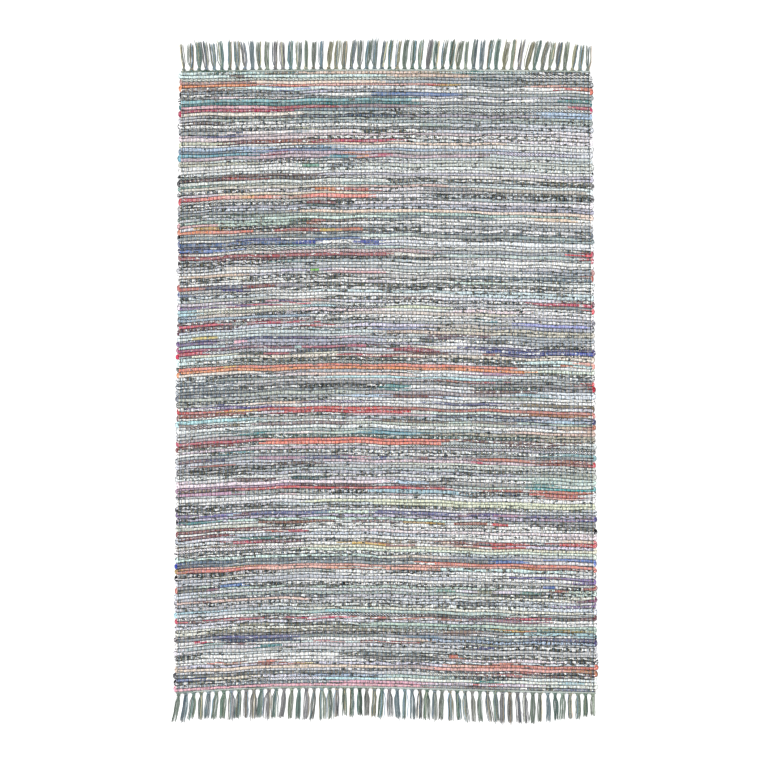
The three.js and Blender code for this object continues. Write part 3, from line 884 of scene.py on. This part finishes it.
def lay_locks(shape, along):
    """Root, lean and length of each lock of a fringe, from the left."""
    reach = half_width(along)
    row_length = 2 * (reach - STRIP_INSET - STRIP_MARGIN) - ROOT_WIDTH
    locks = []
    least_tip = -math.inf
    for number in range(shape["locks"]):
        root = (number / (shape["locks"] - 1) - 0.5) * row_length
        lean, length = (
            np.interp(root / reach, shape["across"], shape[key]) for key in ("lean", "length")
        )
        lean += (stray(number, LEAN_KIND + along) - 0.5) * 2 * LEAN_SPREAD
        length -= stray(number, TRIM_KIND + along) * TRIM_SPREAD
        tip = max(root + lean, least_tip)
        least_tip = tip + TIP_PITCH
        locks.append((root, tip - root, length))
    return np.array(locks)


# The warp ends before their locks: how far past the weave's edge, and how high
HEADING_SHARES = [-1.5, 1.2, 3.6]
HEADING_DRAW = 0.2  # how much of the way to its root an end is drawn over the heading
HEADING_HEIGHT = 2.3
HEADING_SHED = 0.6  # every other end is this much higher, the others lower

# A lock: places along it, and how its ends stray
LOCK_SHARES = np.array([0.05, 0.11, 0.2, 0.34, 0.52, 0.7, 0.86, 1])
KNOT_SHARE = 0.06  # where a lock's knot sits along it
OPEN_SHARE = 0.34  # from here on it is fully spread
OPENING = 0.8
LOCK_SPREADS = (11, 17)
FAN_STRAY = 0.1
LOCK_BEND = 1.2
END_BEND = 0.6
SPLAYED = 0.12  # the share of ends that splay out of their lock
SPLAY = 3
RIPPLE = 0.6
RIPPLES = 9
TRIMMED = 0.08  # how much shorter an end may be
UNTRIMMED = 0.08  # the share of ends that were missed
UNTRIMMED_LENGTH = 0.07
LAYER = 1.5  # how high ends lie over each other
HELD_WIDTH = 4  # of a lock in its knot
HELD_RADIUS = 2.4
HELD_HEIGHT = 3
HELD_RISE = 1.3
TIP_RADII = [0.9, 0.5]  # of a yarn's last two stations, as shares of its radius

LOCK_TINTS = [
    (106, 128, 122), (122, 130, 122), (126, 126, 128), (134, 134, 114), (96, 116, 104),
    (114, 128, 132), (130, 140, 126), (124, 126, 122), (112, 124, 114), (118, 132, 122),
]
TINTED = 0.75  # the share of ends in their lock's tint, where the others keep their own dye
TINT_SPREAD = 0.42
TINT_RANGE = (0.3, 1.9)

KNOT_TURNS = 1.6
KNOT_STATIONS = 18
KNOT_HALF_WIDTH = 4.4
KNOT_LENGTH = 3.4
KNOT_TILT = 1
KNOT_HEIGHT = 3.1
KNOT_RISE = 1.9
KNOT_RADIUS = 1.15
KNOT_SIDES = 6
KNOT_END = 3  # which of its lock's ends the knot is tied with
KNOT_DYE = 0.5  # how much of that end's dye shows in the knot
KNOT_TINT = 0.6  # and of the lock's tint

HEADING_DYES = [(206, 214, 208), (196, 204, 200), (150, 164, 150), (60, 92, 76)]
HEADING_CHANCES = [0.4, 0.3, 0.18, 0.12]
HEADING_CHANGE = 0.12  # how often a pick changes dye from one station to the next
PICKS = (0.9, 2.5, 4.1)  # how far past the edge they lie
PICK_STATIONS = 121
PICK_HEIGHT = 2.7
PICK_WAVE = 0.3
PICK_WAVES = 0.9
PICK_RADIUS = 0.95

WISPS = 3  # thin fibres astray at each lock
WISP_RADIUS = 0.3
WISP_HEIGHT = 1.0
WISP_SHARES = np.array([0.1, 0.3, 0.5, 0.7, 0.85, 1])
WISP_SPREAD = 4
WISP_DRIFT = 6
WISP_SWAY = 2.5
WISP_WAVES = 4
WISP_TINT = 1.6
WISP_REACH = (0.75, 1.06)


def past_edge(x, along, end, past):
    """Y at x, this far past the weave's edge."""
    return row_y(along, x / half_width(along)) + end * past


def lock_paths(locks, lock, start_x, along, end):
    """The paths of all warp ends through the heading and their locks; lock is each end's own."""
    number = np.arange(ENDS)
    first = np.searchsorted(lock, np.arange(len(locks)))
    place = (number - first[lock] + 0.5) / np.bincount(lock)[lock] - 0.5  # across its lock
    root, lean, length = locks[lock].T
    edge_y = past_edge(start_x, along, end, EDGE_GAP)
    root_y = past_edge(root, along, end, EDGE_GAP + STRIP_WIDTH)

    turn = 2 * np.pi * (place + chance.random(len(locks))[lock])
    spread = chance.uniform(*LOCK_SPREADS, len(locks))[lock]
    fan = (place + chance.normal(0, FAN_STRAY, ENDS)) * spread
    bend = chance.normal(0, LOCK_BEND, len(locks))[lock] + chance.normal(0, END_BEND, ENDS)
    splay = np.where(chance.random(ENDS) < SPLAYED, chance.normal(0, SPLAY, ENDS), 0)
    ripple = chance.uniform(0, 2 * np.pi, ENDS)
    trim = chance.uniform(0, TRIMMED, ENDS)
    trim = trim - (chance.random(ENDS) < UNTRIMMED) * UNTRIMMED_LENGTH
    layer = chance.uniform(0, LAYER, ENDS)

    paths = []
    for station, past in enumerate(HEADING_SHARES):
        drawn = station / len(HEADING_SHARES) * HEADING_DRAW
        height = HEADING_HEIGHT + HEADING_SHED * np.cos(np.pi * (number + station))
        x = start_x + drawn * (root - start_x)
        paths.append(np.stack([x, edge_y + end * past, height], -1))
    for share in LOCK_SHARES:
        opened = np.clip((share - KNOT_SHARE) / (OPEN_SHARE - KNOT_SHARE), 0, 1) ** OPENING
        closed = 1 - opened
        share = share * (1 - trim * opened)
        x = root + lean * share**LEAN_CURVE + fan * opened
        x += (place * HELD_WIDTH + np.cos(turn) * HELD_RADIUS) * closed + splay * share**2
        x += bend * np.sin(np.pi * share) + RIPPLE * np.sin(ripple + RIPPLES * share) * opened
        z = (HELD_HEIGHT + np.sin(turn) * HELD_RISE) * closed**2
        z = z + (YARN_RADIUS + layer) * (1 - closed**2)
        paths.append(np.stack([x, root_y + end * share * length, z], -1))
    return np.stack(paths, 1)


def end_dyes(tints):
    """The warp ends' colours: most take their lock's tint, the others keep their own dye."""
    dye_names = np.array(WARP_ORDER)[np.arange(ENDS) % len(WARP_ORDER)]
    pick = chance.choice(len(DYE_SHARES), ENDS, p=DYE_SHARES)
    dyes = np.array([linear(DYES[dye][number]) for dye, number in zip(dye_names, pick)])
    dyes = np.where(chance.random((ENDS, 1)) < TINTED, tints, dyes)
    return dyes * np.exp(chance.normal(0, TINT_SPREAD, (ENDS, 1))).clip(*TINT_RANGE)


def knots(locks, dyes, along, end):
    """A yarn wound round each lock near its root."""
    root, lean, length = locks.T
    angle = np.linspace(0, 2 * np.pi * KNOT_TURNS, KNOT_STATIONS)
    x = (root + lean * KNOT_SHARE**LEAN_CURVE)[:, None]
    y = past_edge(root, along, end, EDGE_GAP + STRIP_WIDTH) + end * length * KNOT_SHARE
    tilt = chance.uniform(-KNOT_TILT, KNOT_TILT, len(locks))[:, None]
    height = np.broadcast_to(KNOT_HEIGHT + KNOT_RISE * np.sin(angle), (len(locks), KNOT_STATIONS))
    wound = (angle / angle[-1] - 0.5) * KNOT_LENGTH
    wrap = np.stack([
        x + KNOT_HALF_WIDTH * np.cos(angle),
        y[:, None] + wound + tilt * np.cos(angle),
        height,
    ], -1)
    return yarns(wrap, KNOT_RADIUS, dyes, "knots", (0, 1, 0), KNOT_SIDES)


def heading_picks(along, end):
    """The plain picks across the crowded warp between the last row and the locks."""
    x = np.linspace(-1, 1, PICK_STATIONS) * (half_width(along) - STRIP_INSET)
    picks = []
    for past in PICKS:
        height = PICK_HEIGHT + PICK_WAVE * np.sin(x * PICK_WAVES + past)
        picks.append(np.stack([x, past_edge(x, along, end, EDGE_GAP + past), height], -1))
    change = chance.random((len(PICKS), PICK_STATIONS - 1)) < HEADING_CHANGE
    choice = chance.choice(len(HEADING_DYES), change.shape, p=HEADING_CHANCES)
    last = np.maximum.accumulate(np.where(change, np.arange(PICK_STATIONS - 1), 0), 1)
    dyes = linear(HEADING_DYES)[np.take_along_axis(choice, last, 1)]
    return yarns(np.array(picks), PICK_RADIUS, dyes, "heading")


def wisps(locks, dyes, along, end):
    """Thin fibres that stray from the locks and lie on the floor."""
    which = np.repeat(np.arange(len(locks)), WISPS)
    root, lean, length = locks[which].T
    off = chance.uniform(-WISP_SPREAD, WISP_SPREAD, len(which))
    drift = off + chance.normal(0, WISP_DRIFT, len(which))
    sway = chance.normal(0, WISP_SWAY, len(which))
    reach = chance.uniform(*WISP_REACH, len(which))
    paths = []
    for share in WISP_SHARES:
        at = share * reach
        x = root + lean * at**LEAN_CURVE + off + (drift - off) * at
        x = x + sway * np.sin(WISP_WAVES * at)
        y = past_edge(root, along, end, STRIP_WIDTH + at * length)
        paths.append(np.stack([x, y, np.full(len(which), WISP_HEIGHT)], -1))
    return yarns(np.stack(paths, 1), WISP_RADIUS, dyes[which], "wisps", sides=3)


def fringe(name, shape, end, finish):
    """Warp ends gathered into knotted locks: end is 1 at the far edge and -1 at the near one."""
    along = 0 if end > 0 else 1
    locks = lay_locks(shape, along)
    start_x = (2 * np.arange(ENDS) / (ENDS - 1) - 1) * (half_width(along) - SELVEDGE_END)
    lock = np.abs(start_x[:, None] - locks[:, 0]).argmin(1)
    paths = lock_paths(locks, lock, start_x, along, end)
    radii = [1] * (paths.shape[1] - len(TIP_RADII)) + TIP_RADII
    tints = linear(LOCK_TINTS)[chance.integers(0, len(LOCK_TINTS), len(locks))]
    dyes = end_dyes(tints[lock])
    knot_end = np.searchsorted(lock, np.arange(len(locks))) + KNOT_END
    lots = [
        yarns(paths, YARN_RADIUS * np.array(radii), dyes, "locks"),
        knots(locks, dyes[knot_end] * KNOT_DYE + tints * KNOT_TINT, along, end),
        heading_picks(along, end),
        wisps(locks, tints * WISP_TINT, along, end),
    ]
    return join_yarns(name, lots, finish)


# ---------------------------------------------------------------- shader help
class Socket:
    """A value, colour or vector from a node. Sums written with it add Math nodes."""

    def __init__(self, finish, socket):
        self.finish = finish
        self.socket = socket

    def math(self, operation, *others):
        return self.finish.math(operation, self, *others)

    def __add__(self, other):
        return self.math("ADD", other)

    def __sub__(self, other):
        return self.math("SUBTRACT", other)

    def __rsub__(self, other):
        return self.finish.math("SUBTRACT", other, self)

    def __mul__(self, other):
        return self.math("MULTIPLY", other)

    def __truediv__(self, other):
        return self.math("DIVIDE", other)

    def __rtruediv__(self, other):
        return self.finish.math("DIVIDE", other, self)

    def __gt__(self, other):
        return self.math("GREATER_THAN", other)

    def __lt__(self, other):
        return self.math("LESS_THAN", other)

    def __abs__(self):
        return self.math("ABSOLUTE")

    __radd__ = __add__
    __rmul__ = __mul__

    def ease(self, low, high):
        """0 below low, 1 over high and a soft step between."""
        settings = {"interpolation_type": "SMOOTHSTEP"}
        values = {"Value": self, "From Min": low, "From Max": high}
        return self.finish.node("ShaderNodeMapRange", settings, values)

    def part(self, factor=1):
        """What is left past the whole number, of so many times the value."""
        return (self * factor).math("FRACT")

    def tooth(self, period):
        """Distance to the nearest whole period, from 0 to 1 half way."""
        return 1 - abs((self / period).part() - 0.5) * 2


class Finish:
    """A material and what works it out."""

    def __init__(self, name, **values):
        self.material = bpy.data.materials.new(name)
        self.material.use_nodes = True
        self.tree = self.material.node_tree
        self.shader = self.tree.nodes["Principled BSDF"]
        self.feed(self.shader, values)

    def feed(self, node, values):
        for name, value in values.items():
            key = name.replace("_", " ") if isinstance(name, str) else name
            socket = node.inputs[key]
            if isinstance(value, Socket):
                self.tree.links.new(value.socket, socket)
            else:
                socket.default_value = value

    def node(self, kind, settings=None, values=None, out=0):
        node = self.tree.nodes.new(kind)
        for name, value in (settings or {}).items():
            setattr(node, name, value)
        self.feed(node, values or {})
        return Socket(self, node.outputs[out])

    def math(self, operation, *values):
        return self.node("ShaderNodeMath", {"operation": operation}, dict(enumerate(values)))

    def split(self, vector):
        first = self.node("ShaderNodeSeparateXYZ", None, {0: vector})
        return [Socket(self, output) for output in first.socket.node.outputs]

    def join(self, *parts):
        return self.node("ShaderNodeCombineXYZ", None, dict(enumerate(parts)))

    def mix(self, factor, one, other):
        """Part of one colour and part of the other, which are sockets 6 and 7 of their node."""
        values = {"Factor": factor, 6: one, 7: other}
        return self.node("ShaderNodeMix", {"data_type": "RGBA"}, values, 2)

    def dim(self, colour, factor):
        values = {0: colour, "Scale": factor}
        return self.node("ShaderNodeVectorMath", {"operation": "SCALE"}, values)

    def map(self, name):
        return self.node("ShaderNodeUVMap", {"uv_map": name})

    def attribute(self, name):
        return self.node("ShaderNodeAttribute", {"attribute_name": name})

    def place(self):
        """Where a point of the surface is, in metres."""
        return self.node("ShaderNodeTexCoord", None, None, "Object")

    def noise(self, vector, scale=1.0, detail=2.0):
        values = {"Vector": vector, "Scale": scale, "Detail": detail}
        return self.node("ShaderNodeTexNoise", None, values)

    def bump(self, height, strength, distance):
        values = {"Height": height, "Strength": strength, "Distance": distance * METRES}
        return self.node("ShaderNodeBump", None, values)

    def finish(self, **values):
        self.feed(self.shader, values)
        return self.material


# ---------------------------------------------------------------- finishes
# A print's finest figures, and how much larger its boldest are
BLOT_LENGTH = (6, 11)
BLOT_HEIGHT = (4.4, 1)
BAR_PITCH = (3, 3)
BARRED = 0.2  # the share of prints that are bars
FOLDS = 6  # creases from the lowest to the highest fold
TONE = 0.24  # of a strip away from its painted ridge highlight and its streaks
RIDGE_HIGHLIGHT = 0.4
STREAKS = 0.62
BRIGHTNESS = 3.36
FULL_LIGHT = 1.06
REED_ENDS = 6  # a painted shade line darkens the rag at every sixth end, as if the ends stood a little apart there
THREAD = 0.9  # of the rag's own weave


def print_figures(finish, x, y, cover, seed):
    """Blots, and 1 where a strip is printed: on blots, or on slanting bars."""
    bold = seed.part(7)
    length = (bold * BLOT_LENGTH[1] + BLOT_LENGTH[0]) * METRES
    height = (bold * BLOT_HEIGHT[1] + BLOT_HEIGHT[0]) * METRES
    blots = finish.noise(finish.join(x / length, y / height, seed * 40))
    blotted = blots > 0.64 - cover * 0.36
    slant = (x * (bold * 2 - 1) + y) / ((bold * BAR_PITCH[1] + BAR_PITCH[0]) * METRES)
    barred = slant.part() < cover
    choice = seed.part(13) < BARRED
    return blots, blotted + (barred - blotted) * choice


def rag_finish():
    finish = Finish(
        "rag_cloth", Roughness=0.9, Specular_IOR_Level=0.15,
        Sheen_Weight=0.15, Sheen_Roughness=0.5,
    )
    end, lay, _ = finish.split(finish.map("weave"))
    x, y, _ = finish.split(finish.place())
    cover, crease_shade_depth, seed = finish.split(finish.attribute("make"))
    blots, printed = print_figures(finish, x, y, cover, seed)

    # The hump of rag between two warp yarns, from one groove to the next
    under = lay > 1
    share = lay - under
    # painted shade: the rag darkens towards the grooves between rows
    groove_shade = (abs(share - 0.5) * 2).ease(0.52, 0.92)
    hump = finish.join(((end + under) / 2).math("FLOOR"), lay.math("FLOOR"), seed * 50)
    # each hump between warp yarns is lighter or darker at random
    hump_tone = finish.node("ShaderNodeTexWhiteNoise", None, {"Vector": hump})
    tie = (end + under).tooth(2)  # 0 under a warp yarn, 1 midway to the next
    # painted shade beside each warp yarn, where it pinches the rag; the same mask also dents the
    # bump
    pinch_and_shade = 1 - tie.ease(0.1, 0.75)
    # painted shade line at every sixth end
    reed_shade = 1 - (end - 4).tooth(REED_ENDS).ease(0, 0.3)

    # The strip's own folds, creases and streaks run along the row
    folds = finish.noise(finish.join(end * 0.035, share * 2.6, seed * 60), detail=3.0)
    # the creases get painted shade in the colour as well as a dent in the bump
    crease_and_shade = 1 - folds.part(FOLDS).ease(0.0, 0.4)
    inside_out = (folds * 4.5 + seed * 3).part() > 0.7  # the paler wrong side shows
    streaks = finish.noise(finish.join(end * 0.05, lay * 2.2, seed * 33))
    # painted highlight along the row's crest, which wanders with the folds
    ridge_highlight = 1 - abs(share - 0.5 + (folds - 0.5) * 2).ease(0.0, 0.28)
    mottle = finish.noise(finish.join(x * 150, y * 240, seed * 9))
    # how deep the painted groove shade is, changing along the row
    groove_shade_depth = finish.noise(finish.join(end * 0.05, lay * 1.4, seed * 80), detail=1.0)

    colour = finish.mix(printed, finish.attribute("cloth"), finish.attribute("print"))
    colour = finish.mix(inside_out * 0.35, colour, WRONG_SIDE)
    light = TONE + ridge_highlight * RIDGE_HIGHLIGHT + streaks.ease(0.38, 0.58) * STREAKS
    light = light * (1 - crease_and_shade * crease_shade_depth * 0.9)
    light = light * (1 - groove_shade * groove_shade_depth.ease(0.3, 0.6) * 0.95) * (1 - pinch_and_shade * 0.25)
    light = (light * (0.6 + hump_tone * 0.8) * BRIGHTNESS).math("MINIMUM", FULL_LIGHT)
    light = light * (0.16 + mottle * 1.66) * (1 - reed_shade * (0.45 + folds * 0.44))
    thread = (x / (THREAD * METRES)).math("SINE") * (y / (THREAD * METRES)).math("SINE")
    height = (1 - pinch_and_shade) * 0.7 - crease_and_shade * 0.3 + folds * 0.5 + thread * 0.06 + blots * 0.1
    return finish.finish(
        Base_Color=finish.dim(colour, light),
        Normal=finish.bump(height, 0.8, 0.9),
    )


def yarn_finish():
    finish = Finish(
        "warp_yarn", Roughness=0.85, Specular_IOR_Level=0.15,
        Sheen_Weight=0.1, Sheen_Roughness=0.5,
    )
    across, along, _ = finish.split(finish.map("twist"))
    seed, over, _ = finish.split(finish.attribute("seed"))
    # painted shade: an over darkens towards its tips, where it dives into the grooves
    dive_shade = 1 - along.ease(0.3, 2.5) * (OVER_LENGTH - along).ease(0.3, 2.5)
    ply = ((along * 1.5 + across * math.pi + seed * 6).math("SINE") + 1) / 2
    fibre = finish.noise(finish.join(across * 3, along * 0.8, seed * 30), 2.0, 3.0)
    light = (0.62 + ply * 0.38) * (0.8 + fibre * 0.4) * (1 - dive_shade * over * 0.8)
    return finish.finish(
        Base_Color=finish.dim(finish.attribute("dye"), light),
        Normal=finish.bump(ply * 0.5 + fibre * 0.5, 0.6, 0.3),
    )


def floor_finish():
    finish = Finish("floor_paint", Roughness=0.9)
    grain = finish.noise(finish.place(), 3.0)
    return finish.finish(
        Base_Color=finish.mix(grain, (0.93, 0.93, 0.93, 1), (0.95, 0.95, 0.95, 1)),
    )


# ---------------------------------------------------------------- view, floor and light
MM_PER_PIXEL = 2.84
FRAME_SIDE = 768
WEAVE_CENTRE_PIXEL = 385.7  # the frame's column where the weave's centre line stands
FAR_EDGE_PIXEL = 71.0  # the frame's row of the weaving's far edge, in the middle
LENS = 100
SENSOR = 36
FLOOR_SIDE = 60  # in metres
FLOOR_GAP = 0.3
SKY = 1.1
SUN = 2.4
SUN_SPREAD = 25
SUN_TILT = (-38, -20, 0)


def add_camera():
    half = FRAME_SIDE / 2
    centre = np.array([
        (half - WEAVE_CENTRE_PIXEL) * MM_PER_PIXEL,
        BODY_LENGTH / 2 - (half - FAR_EDGE_PIXEL) * MM_PER_PIXEL,
        0,
    ])
    data = bpy.data.cameras.new("camera")
    data.lens = LENS
    data.sensor_width = SENSOR
    data.dof.use_dof = False
    camera = bpy.data.objects.new("camera", data)
    bpy.context.scene.collection.objects.link(camera)
    x, y, _ = (centre + SHIFT) * METRES
    camera.location = (x, y, FRAME_SIDE * MM_PER_PIXEL * METRES * LENS / SENSOR)
    bpy.context.scene.camera = camera


def add_floor(finish):
    mesh = bpy.data.meshes.new("floor")
    side = FLOOR_SIDE / 2
    corners = [(-side, -side, 0), (side, -side, 0), (side, side, 0), (-side, side, 0)]
    mesh.from_pydata(corners, [], [(0, 1, 2, 3)])
    mesh.materials.append(finish)
    floor = bpy.data.objects.new("floor", mesh)
    floor.location.z = -FLOOR_GAP * METRES
    bpy.context.scene.collection.objects.link(floor)


def add_light():
    scene = bpy.context.scene
    scene.view_settings.view_transform = "Standard"
    world = bpy.data.worlds.new("studio")
    world.use_nodes = True
    background = world.node_tree.nodes["Background"]
    background.inputs["Color"].default_value = (1, 1, 1, 1)
    background.inputs["Strength"].default_value = SKY
    scene.world = world
    data = bpy.data.lights.new("window", "SUN")
    data.energy = SUN
    data.angle = math.radians(SUN_SPREAD)
    lamp = bpy.data.objects.new("window", data)
    lamp.rotation_euler = [math.radians(tilt) for tilt in SUN_TILT]
    scene.collection.objects.link(lamp)


add_camera()
add_floor(floor_finish())
add_light()

warp_waver = Waver(ENDS, WARP_KNOTS)
rag_cloth = rag_finish()
warp_yarn = yarn_finish()
rows_piece = rag_rows(rag_cloth)
turns = [selvedge("selvedge_left", -1, rag_cloth), selvedge("selvedge_right", 1, rag_cloth)]
overs = [warp_overs(dye, warp_yarn) for dye in DYES]
fringes = [
    fringe("fringe_yarns_far", FAR_FRINGE, 1, warp_yarn),
    fringe("fringe_yarns_near", NEAR_FRINGE, -1, warp_yarn),
]

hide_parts("woven_body")
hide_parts("fringe_far")
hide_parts("fringe_near")
